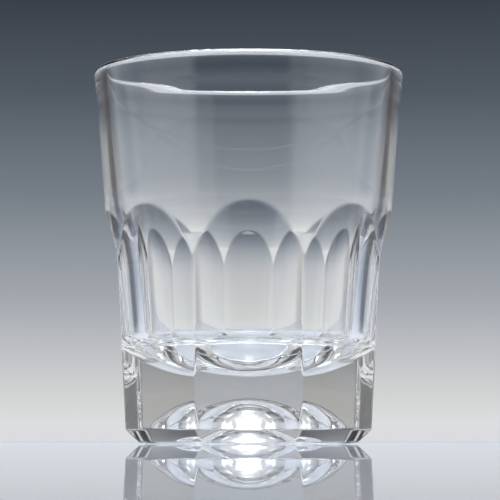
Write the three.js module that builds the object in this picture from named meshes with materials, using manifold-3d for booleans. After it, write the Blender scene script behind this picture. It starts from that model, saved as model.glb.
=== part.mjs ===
// Whisky tumbler in clear pressed glass: a slightly tapered round body with eight arched flutes round its
// lower half, a heavy octagonal base hollowed underneath by a dome, and a fire-polished lip.
// Millimetres, +Z up. The origin is the centre of the foot and one flute faces -Y.

import * as THREE from "three";
import { mergeVertices } from "three/addons/utils/BufferGeometryUtils.js";
import Module from "manifold-3d";

// Round body, as it leaves the mould
const height = 100;
const rimRadius = 41.4; // outside, where the lip begins to round over
const bodyTaper = 0.077; // radius lost per millimetre below the rim
const rimFlare = 0.3; // the rim stands out beyond the straight side by this much
const rimFlareDepth = 10; // where the flare begins, below the top
const rimFlareLength = 6;
const neckStep = 0.4; // the round body draws in by this much behind the arches
const neckAboveArches = 2.2; // where it begins to draw in
const neckLength = 10.5;

// Flutes
const fluteCount = 8;
const fluteTop = 61.8; // height at which the arches close
const faceTaper = 0.052; // lean of the flat faces, millimetre per millimetre
const sweepSlope = 0.381; // lean at which a face runs out into the round body
const sweepDepth = 18.8; // where a face leaves its flat, below the top of its arch
const sweepLength = 18.4;
const arrisWidth = 0.8; // strip left between two flutes, where the edge is polished off

// Foot
const chamferHeight = 3; // at 45 degrees, cut on each flat face
const footRise = 0.7; // height of the small round under the chamfer
const puntDepth = 12.4; // dome under the base
const puntRadius = 29; // sphere that the dome is cut with

// Cup
const lipHeight = 1.9; // the lip is half an oval this high
const thinWall = 2.95; // glass where the wall is thinnest in the round body
const thinDepth = 11; // that place, below the top
const wallSwell = 0.0022; // how the wall thickens away from it, per square millimetre
const boreTaper = 0.108; // lean of the inside
const waistStep = 1.5; // the inside draws in by this much behind the arches
const waistAboveArches = 4.2; // where it begins to draw in
const waistLength = 20;
const floorThickness = 18.2; // foot to the middle of the cup's floor
const floorBowlRadius = 55; // the floor is a shallow bowl
const floorCornerRadius = 5; // between the floor and the wall

// Fineness of the faceted surfaces
const turnSegments = 72;
const lipSteps = 8;
const arcSteps = 6;
const edgeSteps = 3;
const sweepSteps = 8;

const wasm = await Module();
wasm.setup();

// A closed geometry becomes a solid that can be cut.
function solidOf(geometry) {
  const bare = geometry.clone().deleteAttribute("normal").deleteAttribute("uv");
  const merged = mergeVertices(bare, 1e-4);
  return new wasm.Manifold(
    new wasm.Mesh({
      numProp: 3,
      vertProperties: merged.attributes.position.array,
      triVerts: new Uint32Array(merged.index.array),
    }),
  );
}

// A cut solid becomes a geometry that a mesh can show.
function geometryOf(solid) {
  const { vertProperties, triVerts } = solid.getMesh();
  const geometry = new THREE.BufferGeometry();
  geometry.setAttribute("position", new THREE.BufferAttribute(vertProperties, 3));
  geometry.setIndex(new THREE.BufferAttribute(triVerts, 1));
  geometry.computeVertexNormals();
  return geometry;
}

// Points along a round stretch, from one angle to another, both ends included.
function arc(centreX, centreY, radius, fromAngle, toAngle, steps) {
  const points = [];
  for (let i = 0; i <= steps; i++) {
    const angle = fromAngle + ((toAngle - fromAngle) * i) / steps;
    points.push(new THREE.Vector2(centreX + radius * Math.cos(angle), centreY + radius * Math.sin(angle)));
  }
  return points;
}

// Evenly spaced values from one to another, both ends included.
function between(from, to, steps) {
  return Array.from({ length: steps + 1 }, (_, i) => from + ((to - from) * i) / steps);
}

// Share of the way from one height to another, with a soft start and end.
function eased(z, from, to) {
  const part = THREE.MathUtils.clamp((z - from) / (to - from), 0, 1);
  return part * part * (3 - 2 * part);
}

// The round body
const halfPitch = Math.PI / fluteCount;
const lipStart = height - lipHeight;
const flareStart = height - rimFlareDepth;
const flareEnd = flareStart + rimFlareLength;
const neckStart = fluteTop + neckAboveArches;
const neckEnd = neckStart - neckLength;
const waistRadius = rimRadius - rimFlare - bodyTaper * (lipStart - fluteTop);

function bodyRadius(z) {
  const straight = waistRadius + bodyTaper * (Math.max(z, neckEnd) - fluteTop);
  const drawnIn = neckStep * (1 - eased(z, neckEnd, neckStart));
  return straight - drawnIn + rimFlare * eased(z, flareStart, flareEnd);
}

// Distance from the axis to a face: a leaning flat, then a sweep whose lean grows softly to the run-out's.
const sweepStart = fluteTop - sweepDepth;
const sweepEnd = sweepStart + sweepLength;

function faceAt(z) {
  const part = THREE.MathUtils.clamp((z - sweepStart) / sweepLength, 0, 1);
  const swept = sweepLength * (part ** 3 - part ** 4 / 2) + Math.max(z - sweepEnd, 0);
  const flat = waistRadius - faceTaper * (fluteTop - z);
  return flat - (sweepSlope - faceTaper) * (sweepDepth - sweepLength / 2 - swept);
}

// Radius of the round body that leaves the strip beside flat faces at this distance.
function bodyRadiusRound(apothem) {
  return Math.hypot(apothem, apothem * Math.tan(halfPitch) - arrisWidth / 2);
}

// Section of the chamfer and of the small round below it, from the foot up to the flat face
const chamferTop = footRise + chamferHeight;
const chamferFoot = faceAt(chamferTop) - chamferHeight;
const footRound = footRise / (1 - Math.SQRT1_2);
const footEdge = chamferFoot - footRound * Math.SQRT1_2;
const footSection = arc(footEdge, footRound, footRound, -Math.PI / 2, -Math.PI / 4, edgeSteps);

// Cup section
const thinHeight = height - thinDepth;
const straightBoreTop = thinHeight - (boreTaper - bodyTaper) / (2 * wallSwell);
const waistEnd = fluteTop + waistAboveArches;
const waistStart = waistEnd - waistLength;
const boreLean = Math.atan(boreTaper);

function swollenBore(z) {
  return bodyRadius(z) - thinWall - wallSwell * (z - thinHeight) ** 2;
}

function boreRadius(z) {
  if (z > straightBoreTop) return swollenBore(z);
  const leaning = swollenBore(straightBoreTop) - boreTaper * (straightBoreTop - z);
  return leaning - waistStep * (1 - eased(z, waistStart, waistEnd));
}

// Centre of the corner round: it touches the leaning wall and rests inside the bowl of the floor.
function cornerCentre() {
  const bowlCentre = floorThickness + floorBowlRadius;
  const reach = floorBowlRadius - floorCornerRadius;
  const wallFoot = boreRadius(0) - floorCornerRadius / Math.cos(boreLean);
  // It lies on r = wallFoot + z * boreTaper and on the circle of the given reach round the bowl's centre.
  const a = 1 + boreTaper ** 2;
  const b = 2 * (wallFoot * boreTaper - bowlCentre);
  const c = wallFoot ** 2 + bowlCentre ** 2 - reach ** 2;
  const z = (-b - Math.sqrt(b * b - 4 * a * c)) / (2 * a);
  return new THREE.Vector2(wallFoot + z * boreTaper, z);
}

// The closed section that turns about the axis: dome, foot, outside, lip, wall and floor.
function bodySection() {
  const puntCentre = puntDepth - puntRadius;
  const puntEdgeAngle = Math.asin(-puntCentre / puntRadius);
  const dome = arc(0, puntCentre, puntRadius, Math.PI / 2, puntEdgeAngle, arcSteps + 2);

  const foot = footSection.map((p) => new THREE.Vector2(bodyRadiusRound(p.x), p.y));
  const outsideHeights = [
    chamferTop,
    ...between(sweepStart, neckStart, sweepSteps),
    ...between(flareStart, flareEnd, edgeSteps),
  ];
  const outside = outsideHeights.map(
    (z) => new THREE.Vector2(Math.min(bodyRadius(z), bodyRadiusRound(faceAt(z))), z),
  );

  const lipHalf = (rimRadius - boreRadius(lipStart)) / 2;
  const lip = between(0, Math.PI, lipSteps).map(
    (angle) => new THREE.Vector2(
      rimRadius - lipHalf + lipHalf * Math.cos(angle),
      lipStart + lipHeight * Math.sin(angle),
    ),
  );

  const boreHeights = [
    ...between(lipStart, straightBoreTop, edgeSteps).slice(1),
    ...between(waistEnd, waistStart, sweepSteps),
  ];
  const wall = boreHeights.map((z) => new THREE.Vector2(boreRadius(z), z));

  const corner = cornerCentre();
  const bowlCentre = floorThickness + floorBowlRadius;
  const bowlAngle = Math.atan2(corner.y - bowlCentre, corner.x);
  const round = arc(corner.x, corner.y, floorCornerRadius, -boreLean, bowlAngle, arcSteps);
  const floor = arc(0, bowlCentre, floorBowlRadius, bowlAngle, -Math.PI / 2, arcSteps).slice(1);

  const section = [...dome, ...foot, ...outside, ...lip, ...wall, ...round, ...floor];
  section[0].x = 0;
  section[section.length - 1].x = 0;
  return section;
}

function roundBody() {
  return solidOf(new THREE.LatheGeometry(bodySection(), turnSegments).rotateX(Math.PI / 2));
}

// Everything outside one face, as a bar that runs past the body: chamfer, flat and run-out.
function fluteCutter() {
  const clear = chamferHeight;
  const outer = rimRadius + clear;
  const outerHeight = fluteTop + (outer - waistRadius) / sweepSlope;
  const faceHeights = [chamferTop, ...between(sweepStart, sweepEnd, sweepSteps), outerHeight];
  const section = new THREE.Shape([
    new THREE.Vector2(footEdge, -clear),
    ...footSection,
    ...faceHeights.map((z) => new THREE.Vector2(faceAt(z), z)),
    new THREE.Vector2(outer, -clear),
  ]);
  const bar = new THREE.ExtrudeGeometry(section, { depth: 2 * outer, bevelEnabled: false });
  bar.translate(0, 0, -outer).rotateX(Math.PI / 2);
  return solidOf(bar);
}

function tumblerSolid() {
  let glass = roundBody();
  const cutter = fluteCutter();
  for (let i = 0; i < fluteCount; i++) {
    const degrees = (360 * i) / fluteCount - 90;
    glass = glass.subtract(cutter.rotate([0, 0, degrees]));
  }
  return glass;
}

const clearGlass = new THREE.MeshStandardMaterial({
  color: 0xe9eff1,
  roughness: 0.03,
  metalness: 0,
  transparent: true,
  opacity: 0.35,
});

const tumblerGlass = new THREE.Mesh(geometryOf(tumblerSolid()), clearGlass);
tumblerGlass.name = "tumbler_glass";

const tumbler = new THREE.Group();
tumbler.add(tumblerGlass);

export default tumbler;
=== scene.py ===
import math

import bpy
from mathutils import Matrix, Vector


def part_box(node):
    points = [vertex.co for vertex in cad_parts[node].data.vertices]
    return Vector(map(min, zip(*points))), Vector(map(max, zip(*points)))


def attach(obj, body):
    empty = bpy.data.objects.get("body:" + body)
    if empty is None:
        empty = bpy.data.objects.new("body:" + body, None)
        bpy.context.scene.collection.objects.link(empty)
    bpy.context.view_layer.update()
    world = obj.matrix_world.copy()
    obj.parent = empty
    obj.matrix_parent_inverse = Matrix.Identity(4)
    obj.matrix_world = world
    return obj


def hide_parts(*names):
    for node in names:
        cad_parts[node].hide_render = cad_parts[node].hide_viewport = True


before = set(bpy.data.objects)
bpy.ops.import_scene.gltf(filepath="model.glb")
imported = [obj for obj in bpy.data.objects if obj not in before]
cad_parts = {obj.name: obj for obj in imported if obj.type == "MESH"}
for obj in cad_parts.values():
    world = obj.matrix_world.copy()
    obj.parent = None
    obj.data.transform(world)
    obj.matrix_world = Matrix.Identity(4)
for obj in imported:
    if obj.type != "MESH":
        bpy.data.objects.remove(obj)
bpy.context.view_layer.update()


# The glass, one piece
# Clear glass pressed in one go: a round tapered body, flutes round its lower half, a thick octagonal base
# hollowed by a dome. The lip is fire-polished, which leaves it fully round.
rim_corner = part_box("tumbler_glass")[1]
height = rim_corner.z
rim_radius = rim_corner.x

# The round body in metres, with tapers and slopes as radius gained per height
body_taper = 0.077
neck_start = 0.0640
neck_end = 0.0535
neck_step = 0.00040
flare_start = 0.0900
flare_end = 0.0960
bead_flare = 0.00030

# The flutes: leaning flats that run out into the round body and so leave the arches
flute_count = 8
flute_top = 0.0618
face_taper = 0.052
runout_start = 0.0430
runout_end = 0.0614
runout_slope = 0.381
arris_round = 0.0006
arch_arris_round = 0.0009

# The base: a chamfered foot, and the punt, which is the dome under it
chamfer_height = 0.0030
foot_rise = 0.0007
edge_round = 0.0011
punt_depth = 0.0124
punt_radius = 0.0290
punt_edge_round = 0.0007

# The cup: the lip, a wall that is thinnest a little below it, a waist behind the arches, and the floor
lip_height = 0.0019
thin_height = 0.0890
thin_wall = 0.00295
wall_swell = 2.2
bore_taper = 0.108
waist_start = 0.0460
waist_end = 0.0660
waist_step = 0.0015
floor_thickness = 0.0182
floor_bowl_radius = 0.055
floor_corner_radius = 0.005

# What the mould leaves, as waves per metre: slow ones in the wall, closer ones in the dome and the cup's
# floor, which fade out away from the axis and stop at a height
wave_scale = 55.0
uneven_scale = 190.0
uneven_radius = 0.015
even_radius = 0.022
uneven_height = 0.030

# A row with the first as its face distance stays round, and one with the second as its radius is all faces
no_face = 1.0
clear_of_faces = 0.045

# Steps along each stretch of the section, shortest where the glass bends most
dome_steps = 22
edge_steps = 5
flat_steps = 13
arch_steps = 72
body_steps = 14
lip_steps = 24
top_wall_steps = 16
wall_steps = 20
floor_steps = 14
arch_margin = 0.001
edge_margin = 0.0006

lip_start = height - lip_height
waist_radius = rim_radius - bead_flare - body_taper * (lip_start - flute_top)


def arc(centre, radius, start, end, steps):
    """Points on a round stretch of the section, as (distance from the axis, height)."""
    points = []
    for i in range(steps + 1):
        angle = start + (end - start) * i / steps
        points.append((centre[0] + radius * math.cos(angle), centre[1] + radius * math.sin(angle)))
    return points


def between(low, high, steps):
    """Evenly spaced numbers from low to high, both included."""
    return [low + (high - low) * i / steps for i in range(steps + 1)]


def eased(z, low, high):
    """Share of the way from low to high, starting and ending softly."""
    part = min(max((z - low) / (high - low), 0.0), 1.0)
    return part * part * (3 - 2 * part)


def blank_radius(z):
    """Outside of the round body before the flutes, with a slight flare at the lip."""
    radius = waist_radius + body_taper * (max(z, neck_end) - flute_top)
    radius -= neck_step * (1 - eased(z, neck_end, neck_start))
    return radius + bead_flare * eased(z, flare_start, flare_end)


def face_distance(z):
    """Distance from the axis to a flute's face: a leaning flat that sweeps out to the round body."""
    sweep = runout_end - runout_start
    part = min(max((z - runout_start) / sweep, 0.0), 1.0)
    swept = sweep * (part ** 3 - part ** 4 / 2) + max(z - runout_end, 0.0)
    flat = waist_radius - face_taper * (flute_top - z)
    return flat - (runout_slope - face_taper) * (flute_top - runout_start - sweep / 2 - swept)


def bore_radius(z):
    """Inside of the cup: a leaning wall with a waist behind the arches, thinnest a little below the lip."""
    join = thin_height - (bore_taper - body_taper) / (2 * wall_swell)
    if z > join:
        return blank_radius(z) - thin_wall - wall_swell * (z - thin_height) ** 2
    top = blank_radius(join) - thin_wall - wall_swell * (join - thin_height) ** 2
    return top - bore_taper * (join - z) - waist_step * (1 - eased(z, waist_start, waist_end))


def glass_section():
    """Rows of (turned radius, height, face distance), from the dome by the foot and the lip to the floor."""
    rows = []
    # The dome under the base, and the small round at its edge
    punt_centre = punt_depth - punt_radius
    reach = punt_radius + punt_edge_round
    edge_centre = (math.sqrt(reach ** 2 - (punt_edge_round - punt_centre) ** 2), punt_edge_round)
    edge_angle = math.atan2(edge_centre[1] - punt_centre, edge_centre[0])
    dome = arc((0, punt_centre), punt_radius, math.pi / 2, edge_angle, dome_steps)
    dome_edge = arc(edge_centre, punt_edge_round, edge_angle - math.pi, -math.pi / 2, edge_steps)[1:]
    rows += [(r, z, no_face) for r, z in dome + dome_edge]
    # The foot, the chamfer and the rounds between them
    chamfer_top = foot_rise + chamfer_height
    chamfer_foot = face_distance(chamfer_top) - chamfer_height
    slant = math.sqrt(0.5)
    foot_round = foot_rise / (1 - slant)
    foot_centre = (chamfer_foot - foot_round * slant, foot_round)
    lower = arc(foot_centre, foot_round, -math.pi / 2, -math.pi / 4, edge_steps)
    lean = math.atan(face_taper)
    setback = edge_round * math.tan((math.pi / 4 - lean) / 2)
    round_start = (face_distance(chamfer_top) - setback * slant, chamfer_top - setback * slant)
    round_centre = (round_start[0] - edge_round * slant, round_start[1] + edge_round * slant)
    upper = arc(round_centre, edge_round, -math.pi / 4, -lean, edge_steps)
    rows += [(clear_of_faces, z, distance) for distance, z in lower + upper]
    # The flat faces, the arches and the round body above them
    flat_start = upper[-1][1] + edge_margin
    arch_start = runout_start - arch_margin
    arch_end = flute_top + arch_margin
    heights = between(flat_start, arch_start, flat_steps) + between(arch_start, arch_end, arch_steps)[1:]
    rows += [(blank_radius(z), z, face_distance(z)) for z in heights]
    rows += [(blank_radius(z), z, no_face) for z in between(arch_end, lip_start, body_steps)[1:-1]]
    # The lip
    lip_half = (rim_radius - bore_radius(lip_start)) / 2
    for angle in between(0, math.pi, lip_steps):
        r = rim_radius - lip_half + lip_half * math.cos(angle)
        rows.append((r, lip_start + lip_height * math.sin(angle), no_face))
    # The cup: a leaning wall and a shallow bowl. The round corner between them touches both, so the height
    # of its centre solves a square equation
    bore_lean = math.atan(bore_taper)
    bowl_centre = floor_thickness + floor_bowl_radius
    wall_foot = bore_radius(0) - floor_corner_radius / math.cos(bore_lean)
    a = 1 + bore_taper ** 2
    b = 2 * (wall_foot * bore_taper - bowl_centre)
    c = wall_foot ** 2 + bowl_centre ** 2 - (floor_bowl_radius - floor_corner_radius) ** 2
    corner_height = (-b - math.sqrt(b * b - 4 * a * c)) / (2 * a)
    corner_centre = (wall_foot + corner_height * bore_taper, corner_height)
    bowl_angle = math.atan2(corner_height - bowl_centre, corner_centre[0])
    corner = arc(corner_centre, floor_corner_radius, -bore_lean, bowl_angle, floor_steps)
    top_wall = between(lip_start, flare_start, top_wall_steps)[1:]
    lower_wall = between(flare_start, corner[0][1], wall_steps)[1:-1]
    wall = [(bore_radius(z), z) for z in top_wall + lower_wall]
    bowl = arc((0, bowl_centre), floor_bowl_radius, bowl_angle, -math.pi / 2, floor_steps)[1:]
    rows += [(r, z, no_face) for r, z in wall + corner + bowl]
    return [(max(r, 0.0), z, distance) for r, z, distance in rows]


def calculate(tree, operation, *values):
    """A Math node fed with sockets or numbers; gives its result's socket."""
    node = tree.nodes.new("ShaderNodeMath")
    node.operation = operation
    for socket, value in zip(node.inputs, values):
        if isinstance(value, bpy.types.NodeSocket):
            tree.links.new(value, socket)
        else:
            socket.default_value = value
    return node.outputs[0]


def fluting_tree(material):
    """Turns the section about the axis and presses the flutes into it."""
    tree = bpy.data.node_groups.new("turned and fluted glass", "GeometryNodeTree")
    sockets = (
        ("Section", "NodeSocketGeometry"),
        ("Flutes", "NodeSocketInt"),
        ("Columns per flute", "NodeSocketInt"),
        ("Arch edge blend", "NodeSocketFloat"),
        ("Ripple", "NodeSocketFloat"),
        ("Unevenness", "NodeSocketFloat"),
        ("Seed", "NodeSocketFloat"),
    )
    for name, kind in sockets:
        tree.interface.new_socket(name, in_out="INPUT", socket_type=kind)
    tree.interface.new_socket("Glass", in_out="OUTPUT", socket_type="NodeSocketGeometry")
    given = tree.nodes.new("NodeGroupInput").outputs
    result = tree.nodes.new("NodeGroupOutput")

    # A flat grid, with one column of points for each copy of the section
    count = tree.nodes.new("GeometryNodeAttributeDomainSize")
    tree.links.new(given["Section"], count.inputs[0])
    row_count = count.outputs["Point Count"]
    columns = calculate(tree, "MULTIPLY", given["Flutes"], given["Columns per flute"])
    grid = tree.nodes.new("GeometryNodeMeshGrid")
    tree.links.new(calculate(tree, "ADD", columns, 1), grid.inputs["Vertices X"])
    tree.links.new(row_count, grid.inputs["Vertices Y"])
    index = tree.nodes.new("GeometryNodeInputIndex").outputs[0]
    row = calculate(tree, "MODULO", index, row_count)
    middle = calculate(tree, "ADD", index, 0.5)
    column = calculate(tree, "FLOOR", calculate(tree, "DIVIDE", middle, row_count))

    def sampled(field, kind):
        """A value of the section, read at this point's row."""
        node = tree.nodes.new("GeometryNodeSampleIndex")
        node.data_type = kind
        tree.links.new(given["Section"], node.inputs["Geometry"])
        tree.links.new(field, node.inputs["Value"])
        tree.links.new(row, node.inputs["Index"])
        return node.outputs["Value"]

    place = tree.nodes.new("ShaderNodeSeparateXYZ")
    position = tree.nodes.new("GeometryNodeInputPosition").outputs[0]
    tree.links.new(sampled(position, "FLOAT_VECTOR"), place.inputs[0])
    written = {}
    for name in ("face", "arris", "ripples", "uneven"):
        named = tree.nodes.new("GeometryNodeInputNamedAttribute")
        named.data_type = "FLOAT"
        named.inputs["Name"].default_value = name
        written[name] = sampled(named.outputs["Attribute"], "FLOAT")
    face = written["face"]

    # The columns stand closer near an arris, where the glass turns sharply
    crowding = 0.7
    rounding = 1e-5
    turned = calculate(tree, "DIVIDE", column, given["Columns per flute"])
    flute = calculate(tree, "FLOOR", calculate(tree, "ADD", turned, rounding))
    part = calculate(tree, "SUBTRACT", turned, flute)
    wave = calculate(tree, "SINE", calculate(tree, "MULTIPLY", part, 2 * math.pi))
    part = calculate(tree, "MULTIPLY_ADD", wave, crowding / (2 * math.pi), part)
    pitch = calculate(tree, "DIVIDE", 2 * math.pi, given["Flutes"])
    here = calculate(tree, "MULTIPLY", part, pitch)
    left = calculate(tree, "SUBTRACT", pitch, here)
    angle = calculate(tree, "MULTIPLY_ADD", flute, pitch, here)

    # Two neighbouring faces meet on a rounded arris, and the round body stands out above them
    first = calculate(tree, "DIVIDE", face, calculate(tree, "COSINE", here))
    second = calculate(tree, "DIVIDE", face, calculate(tree, "COSINE", left))
    faces = calculate(tree, "SMOOTH_MIN", first, second, written["arris"])
    radius = calculate(tree, "SMOOTH_MIN", faces, place.outputs["X"], given["Arch edge blend"])

    def turned_point(turn, reach, level):
        """The place at an angle about the axis, a distance from it and a height."""
        node = tree.nodes.new("ShaderNodeCombineXYZ")
        tree.links.new(calculate(tree, "MULTIPLY", calculate(tree, "COSINE", turn), reach), node.inputs["X"])
        tree.links.new(calculate(tree, "MULTIPLY", calculate(tree, "SINE", turn), reach), node.inputs["Y"])
        tree.links.new(level, node.inputs["Z"])
        return node.outputs[0]

    # Slow waves that the mould and the fire polish leave in the wall
    around = turned_point(angle, place.outputs["X"], place.outputs["Z"])

    def waves(scale, depth, share):
        """Smooth noise of a depth, where the section's share lets it."""
        noise = tree.nodes.new("ShaderNodeTexNoise")
        noise.noise_dimensions = "4D"
        noise.inputs["Scale"].default_value = scale
        noise.inputs["Detail"].default_value = 1.0
        tree.links.new(given["Seed"], noise.inputs["W"])
        tree.links.new(around, noise.inputs["Vector"])
        swing = calculate(tree, "SUBTRACT", noise.outputs["Fac"], 0.5)
        return calculate(tree, "MULTIPLY", calculate(tree, "MULTIPLY", swing, depth), share)

    radius = calculate(tree, "ADD", radius, waves(wave_scale, given["Ripple"], written["ripples"]))
    # The chilled glass of the dome and the cup's floor is less even
    uneven = waves(uneven_scale, given["Unevenness"], written["uneven"])
    level = calculate(tree, "ADD", place.outputs["Z"], uneven)
    heading = calculate(tree, "SUBTRACT", angle, math.pi / 2)
    point = turned_point(heading, radius, level)
    moved = tree.nodes.new("GeometryNodeSetPosition")
    tree.links.new(grid.outputs["Mesh"], moved.inputs["Geometry"])
    tree.links.new(point, moved.inputs["Position"])

    # Close the seam and the two poles
    closed = tree.nodes.new("GeometryNodeMergeByDistance")
    closed.inputs["Distance"].default_value = 2e-6
    smooth = tree.nodes.new("GeometryNodeSetShadeSmooth")
    real = tree.nodes.new("GeometryNodeRealizeInstances")
    glazed = tree.nodes.new("GeometryNodeSetMaterial")
    glazed.inputs["Material"].default_value = material
    chain = [moved, closed, smooth, real, glazed]
    for before, after in zip(chain, chain[1:]):
        tree.links.new(before.outputs[0], after.inputs[0])
    tree.links.new(glazed.outputs[0], result.inputs["Glass"])
    return tree


def clear_glass():
    """Colourless glass with a breath of grey in the thick base."""
    material = bpy.data.materials.new("clear pressed glass")
    material.use_nodes = True
    tree = material.node_tree
    tree.nodes.clear()
    glass = tree.nodes.new("ShaderNodeBsdfPrincipled")
    glass.inputs["Base Color"].default_value = (0.995, 0.998, 0.995, 1)
    glass.inputs["Roughness"].default_value = 0.0
    glass.inputs["IOR"].default_value = 1.5
    glass.inputs["Transmission Weight"].default_value = 1.0
    passing = tree.nodes.new("ShaderNodeBsdfTransparent")
    passing.inputs["Color"].default_value = (0.66, 0.67, 0.68, 1)
    ray = tree.nodes.new("ShaderNodeLightPath")
    mix = tree.nodes.new("ShaderNodeMixShader")
    out = tree.nodes.new("ShaderNodeOutputMaterial")
    tree.links.new(ray.outputs["Is Shadow Ray"], mix.inputs[0])
    tree.links.new(glass.outputs[0], mix.inputs[1])
    tree.links.new(passing.outputs[0], mix.inputs[2])
    tree.links.new(mix.outputs[0], out.inputs["Surface"])
    body = tree.nodes.new("ShaderNodeVolumeAbsorption")
    body.inputs["Color"].default_value = (0.95, 0.91, 0.84, 1)
    body.inputs["Density"].default_value = 6.0
    tree.links.new(body.outputs[0], out.inputs["Volume"])
    return material


def pressed_glass():
    """The section and its values, turned and fluted, then kept as a plain mesh."""
    rows = glass_section()
    mesh = bpy.data.meshes.new("section of the glass")
    edges = [(i, i + 1) for i in range(len(rows) - 1)]
    mesh.from_pydata([(r, 0, z) for r, z, distance in rows], edges, [])
    widening = arch_arris_round - arris_round
    values = {"face": [], "arris": [], "ripples": [], "uneven": []}
    for r, z, distance in rows:
        inner = distance == no_face and z < uneven_height
        values["face"].append(distance)
        values["arris"].append(arris_round + widening * min(z / flute_top, 1.0) ** 3)
        values["ripples"].append(1.0 if z > floor_thickness else 0.0)
        values["uneven"].append(1 - eased(r, uneven_radius, even_radius) if inner else 0.0)
    for name, numbers in values.items():
        attribute = mesh.attributes.new(name, "FLOAT", "POINT")
        attribute.data.foreach_set("value", numbers)
    section = bpy.data.objects.new("section of the glass", mesh)
    bpy.context.scene.collection.objects.link(section)
    modifier = section.modifiers.new("fluting", "NODES")
    modifier.node_group = fluting_tree(clear_glass())
    settings = {
        "Flutes": flute_count,
        "Columns per flute": 52,
        "Arch edge blend": 0.00008,
        "Ripple": 0.00004,
        "Unevenness": 0.00024,
        "Seed": 3.0,
    }
    for socket in modifier.node_group.interface.items_tree:
        if socket.name in settings:
            modifier[socket.identifier] = settings[socket.name]
    evaluated = section.evaluated_get(bpy.context.evaluated_depsgraph_get())
    solid = bpy.data.meshes.new_from_object(evaluated)
    section.modifiers.clear()
    bpy.data.objects.remove(section)
    solid.name = "pressed glass"
    glass = bpy.data.objects.new("pressed_glass", solid)
    bpy.context.scene.collection.objects.link(glass)
    return glass


glass = pressed_glass()
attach(glass, "root")
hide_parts("tumbler_glass")


# The floor and the room
# None of it belongs to the object. The floor is pale and polished, and mirrors the foot of the glass. The
# room is a graded backdrop behind, grey panels at both sides, a dark camera side and a soft light overhead.
room_radius = 1.0
floor_drop = -0.00004
floor_rings = (0.08, 0.5, room_radius)
camera_distance = 0.697


def blend(tree, share, first, second):
    """A colour between two others, each of them a socket or three numbers."""
    node = tree.nodes.new("ShaderNodeMix")
    node.data_type = "RGBA"
    tree.links.new(share, node.inputs["Factor"])
    for tone, socket in ((first, node.inputs[6]), (second, node.inputs[7])):
        if isinstance(tone, tuple):
            socket.default_value = (*tone, 1)
        else:
            tree.links.new(tone, socket)
    return node.outputs[2]


def floor_material():
    """Pale and matt, grey in the far corners and paler round the glass, where a glow of light is painted in,
    with a polish that mirrors what comes in at a low angle.
    """
    material = bpy.data.materials.new("pale polished floor")
    material.use_nodes = True
    tree = material.node_tree
    tree.nodes.clear()
    place = tree.nodes.new("ShaderNodeNewGeometry")
    split = tree.nodes.new("ShaderNodeSeparateXYZ")
    tree.links.new(place.outputs["Position"], split.inputs[0])
    reach = tree.nodes.new("ShaderNodeVectorMath")
    reach.operation = "LENGTH"
    tree.links.new(place.outputs["Position"], reach.inputs[0])

    def faded(value, near, far):
        """Grows softly from 0 at near to 1 at far."""
        node = tree.nodes.new("ShaderNodeMapRange")
        node.interpolation_type = "SMOOTHSTEP"
        node.inputs["From Min"].default_value = near
        node.inputs["From Max"].default_value = far
        tree.links.new(value, node.inputs["Value"])
        return node.outputs[0]

    # The grey corners lie on both sides of a pale wedge that opens away from the camera
    wedge_slope = -0.7
    across = calculate(tree, "ABSOLUTE", split.outputs["X"])
    aside = calculate(tree, "MULTIPLY_ADD", split.outputs["Y"], wedge_slope, across)
    beside_wedge = faded(aside, near=0.0, far=0.08)
    beyond_glass = faded(split.outputs["Y"], near=0.06, far=0.24)
    corner = calculate(tree, "MULTIPLY", beside_wedge, beyond_glass)
    away = blend(tree, corner, (0.70, 0.70, 0.745), (0.20, 0.22, 0.26))
    # Painted light: the paler, bluer disc round the glass is a painted glow, standing for the lamp's light
    # that the glass would focus onto the floor
    around = blend(tree, faded(reach.outputs["Value"], near=0.030, far=0.120), (0.72, 0.76, 0.82), away)
    matt = tree.nodes.new("ShaderNodeBsdfDiffuse")
    tree.links.new(around, matt.inputs["Color"])
    polish = tree.nodes.new("ShaderNodeBsdfGlossy")
    polish.inputs["Color"].default_value = (0.94, 0.97, 1.0, 1)
    polish.inputs["Roughness"].default_value = 0.0
    fresnel = tree.nodes.new("ShaderNodeFresnel")
    fresnel.inputs["IOR"].default_value = 1.45
    polished_share = 0.8
    mix = tree.nodes.new("ShaderNodeMixShader")
    out = tree.nodes.new("ShaderNodeOutputMaterial")
    tree.links.new(calculate(tree, "MULTIPLY", fresnel.outputs[0], polished_share), mix.inputs[0])
    tree.links.new(matt.outputs[0], mix.inputs[1])
    tree.links.new(polish.outputs[0], mix.inputs[2])
    tree.links.new(mix.outputs[0], out.inputs["Surface"])
    return material


def round_floor(steps=96):
    """A flat disc, a hair below the foot of the glass."""
    points = [(0, 0, floor_drop)]
    for radius in floor_rings:
        for i in range(steps):
            angle = 2 * math.pi * i / steps
            points.append((radius * math.cos(angle), radius * math.sin(angle), floor_drop))
    faces = [(0, 1 + i, 1 + (i + 1) % steps) for i in range(steps)]
    for ring in range(len(floor_rings) - 1):
        first = 1 + ring * steps
        for i in range(steps):
            j = (i + 1) % steps
            faces.append((first + i, first + steps + i, first + steps + j, first + j))
    mesh = bpy.data.meshes.new("floor")
    mesh.from_pydata(points, [], faces)
    mesh.materials.append(floor_material())
    floor = bpy.data.objects.new("floor", mesh)
    bpy.context.scene.collection.objects.link(floor)


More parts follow.
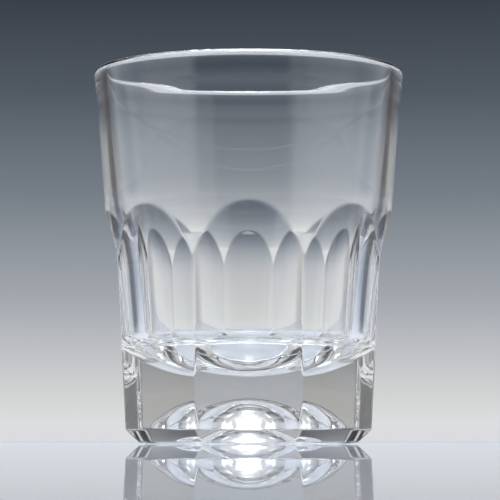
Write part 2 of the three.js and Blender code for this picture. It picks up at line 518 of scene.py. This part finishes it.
def room_material():
    """Tones of the room by height angle from the glass, for each side of it."""
    material = bpy.data.materials.new("tones of the room")
    material.use_nodes = True
    tree = material.node_tree
    tree.nodes.clear()
    place = tree.nodes.new("ShaderNodeNewGeometry")
    split = tree.nodes.new("ShaderNodeSeparateXYZ")
    tree.links.new(place.outputs["Position"], split.inputs[0])
    height_share = calculate(tree, "DIVIDE", split.outputs["Z"], room_radius)
    rise = calculate(tree, "DIVIDE", calculate(tree, "ARCSINE", height_share), math.pi / 2)
    heading = calculate(tree, "ARCTAN2", split.outputs["X"], split.outputs["Y"])
    turn = calculate(tree, "DIVIDE", heading, math.pi)
    swing = calculate(tree, "ABSOLUTE", turn)
    turn = calculate(tree, "MULTIPLY_ADD", turn, 0.5, 0.5)
    quarter_turn = 90
    half_turn = 180
    whole_turn = 360

    def ramp(value, stops, scale):
        """Tones that change with a value, with each stop's place written as a part of the scale."""
        node = tree.nodes.new("ShaderNodeValToRGB")
        tree.links.new(value, node.inputs[0])
        while len(node.color_ramp.elements) < len(stops):
            node.color_ramp.elements.new(0.5)
        for element, (where, tone) in zip(node.color_ramp.elements, stops):
            element.position = where / scale
            element.color = (*tone, 1) if isinstance(tone, tuple) else (tone, tone, tone, 1)
        return node.outputs[0]

    def past(start, end):
        """Grows from 0 to 1 between two angles from straight behind the glass, to either side."""
        return ramp(swing, ((start, 0.0), (end, 1.0)), half_turn)

    # The stops are written by the angle at which the camera sees them on the backdrop
    seen_further = (room_radius + camera_distance) / room_radius
    backdrop_stops = (
        (0.0, (0.700, 0.710, 0.745)),
        (0.4, (0.715, 0.725, 0.740)),
        (0.9, (0.655, 0.672, 0.665)),
        (1.75, (0.545, 0.552, 0.578)),
        (3.1, (0.366, 0.391, 0.423)),
        (5.3, (0.184, 0.212, 0.246)),
        (7.5, (0.083, 0.100, 0.127)),
        (9.6, (0.037, 0.046, 0.061)),
        (10.6, (0.060, 0.070, 0.085)),
        (12.0, (0.300, 0.310, 0.330)),
        (16.0, (0.420, 0.430, 0.450)),
    )
    backdrop = ramp(rise, [
        (math.degrees(math.asin(seen_further * math.tan(math.radians(where)))), tone)
        for where, tone in backdrop_stops
    ], quarter_turn)
    gap = ramp(rise, (
        (0.0, (0.46, 0.46, 0.45)),
        (5.0, (0.40, 0.40, 0.39)),
        (7.0, (0.18, 0.18, 0.19)),
        (20.0, (0.08, 0.08, 0.09)),
        (33.0, (0.04, 0.04, 0.05)),
        (38.0, (0.20, 0.20, 0.22)),
    ), quarter_turn)
    recess = ramp(rise, (
        (0.0, (0.12, 0.12, 0.13)),
        (8.0, (0.09, 0.09, 0.10)),
        (26.0, (0.05, 0.05, 0.06)),
        (34.0, (0.34, 0.35, 0.37)),
    ), quarter_turn)
    panel = ramp(rise, (
        (8.0, (0.56, 0.60, 0.68)),
        (15.0, (0.82, 0.85, 0.92)),
        (22.0, (0.58, 0.60, 0.64)),
    ), quarter_turn)
    side = ramp(rise, (
        (0.0, (0.90, 0.93, 1.0)),
        (15.0, (0.95, 0.97, 1.02)),
        (26.0, (0.70, 0.72, 0.76)),
    ), quarter_turn)
    front = ramp(rise, (
        (0.0, (0.22, 0.22, 0.24)),
        (7.0, (0.16, 0.16, 0.17)),
        (13.0, (0.13, 0.13, 0.14)),
        (26.0, (0.20, 0.21, 0.22)),
        (34.0, (0.45, 0.46, 0.48)),
    ), quarter_turn)
    low = blend(tree, past(18, 24), backdrop, gap)
    low = blend(tree, past(31, 36), low, recess)
    low = blend(tree, past(50, 58), low, panel)
    low = blend(tree, past(92, 98), low, side)
    # The dark side reaches further round at the left: its stops run from the camera round by the left
    dark_stops = ((38, 1.0), (44, 0.0), (312, 0.0), (318, 0.35), (327, 0.35), (332, 1.0))
    low = blend(tree, ramp(turn, dark_stops, whole_turn), low, front)
    high = ramp(rise, (
        (26.0, (0.42, 0.43, 0.45)),
        (50.0, (0.58, 0.60, 0.64)),
        (66.0, (0.70, 0.73, 0.78)),
    ), quarter_turn)
    tone = blend(tree, ramp(rise, ((38, 0.0), (42, 1.0)), quarter_turn), low, high)
    # A long lamp overhead, from behind the glass to the camera's side
    across = calculate(tree, "DIVIDE", calculate(tree, "ABSOLUTE", split.outputs["X"]), room_radius)
    band = ramp(across, ((0.15, 1.0), (0.16, 0.3), (0.24, 0.3), (0.26, 0.0)), 1)
    lamp = calculate(tree, "MULTIPLY", band, ramp(rise, ((62, 0.0), (65, 1.0)), quarter_turn))
    lamp_tone = (7.0, 7.4, 7.8)
    tone = blend(tree, lamp, tone, lamp_tone)
    glow = tree.nodes.new("ShaderNodeEmission")
    out = tree.nodes.new("ShaderNodeOutputMaterial")
    tree.links.new(tone, glow.inputs["Color"])
    tree.links.new(glow.outputs[0], out.inputs["Surface"])
    return material


def room(rings=48, steps=96):
    """A half ball round the table, seen from inside."""
    points = [(0, 0, room_radius)]
    for ring in range(1, rings + 1):
        angle = math.pi / 2 * (1 - ring / rings)
        for i in range(steps):
            turn = 2 * math.pi * i / steps
            across = room_radius * math.cos(angle)
            level = room_radius * math.sin(angle) + floor_drop
            points.append((across * math.cos(turn), across * math.sin(turn), level))
    faces = [(0, 1 + (i + 1) % steps, 1 + i) for i in range(steps)]
    for ring in range(rings - 1):
        first = 1 + ring * steps
        for i in range(steps):
            j = (i + 1) % steps
            faces.append((first + i, first + j, first + steps + j, first + steps + i))
    mesh = bpy.data.meshes.new("room")
    mesh.from_pydata(points, [], faces)
    mesh.materials.append(room_material())
    shell = bpy.data.objects.new("room", mesh)
    bpy.context.scene.collection.objects.link(shell)


round_floor()
room()


# The camera
# It looks along +Y from just above the floor, as in the photograph, slightly up and through a long lens.
picture_size = 500
focal_pixels = 2614
horizon_row = 440
middle_column = 248.6
camera_height = 0.0010
sensor = 36.0

camera = bpy.data.cameras.new("camera")
camera.sensor_width = sensor
camera.lens = focal_pixels / picture_size * sensor
camera.clip_start = 0.01
camera.clip_end = 20
viewer = bpy.data.objects.new("camera", camera)
viewer.location = (0, -camera_distance, camera_height)
tilt = math.atan((horizon_row - picture_size / 2) / focal_pixels)
pan = math.atan((middle_column - picture_size / 2) / focal_pixels)
viewer.rotation_mode = "QUATERNION"
aim = Vector((-math.sin(pan) * math.cos(tilt), math.cos(pan) * math.cos(tilt), math.sin(tilt)))
viewer.rotation_quaternion = aim.to_track_quat("-Z", "Y")
bpy.context.scene.collection.objects.link(viewer)
bpy.context.scene.camera = viewer

scene = bpy.context.scene
scene.view_settings.view_transform = "Standard"
scene.cycles.max_bounces = 32
scene.cycles.transmission_bounces = 32
scene.cycles.glossy_bounces = 16
scene.cycles.transparent_max_bounces = 16
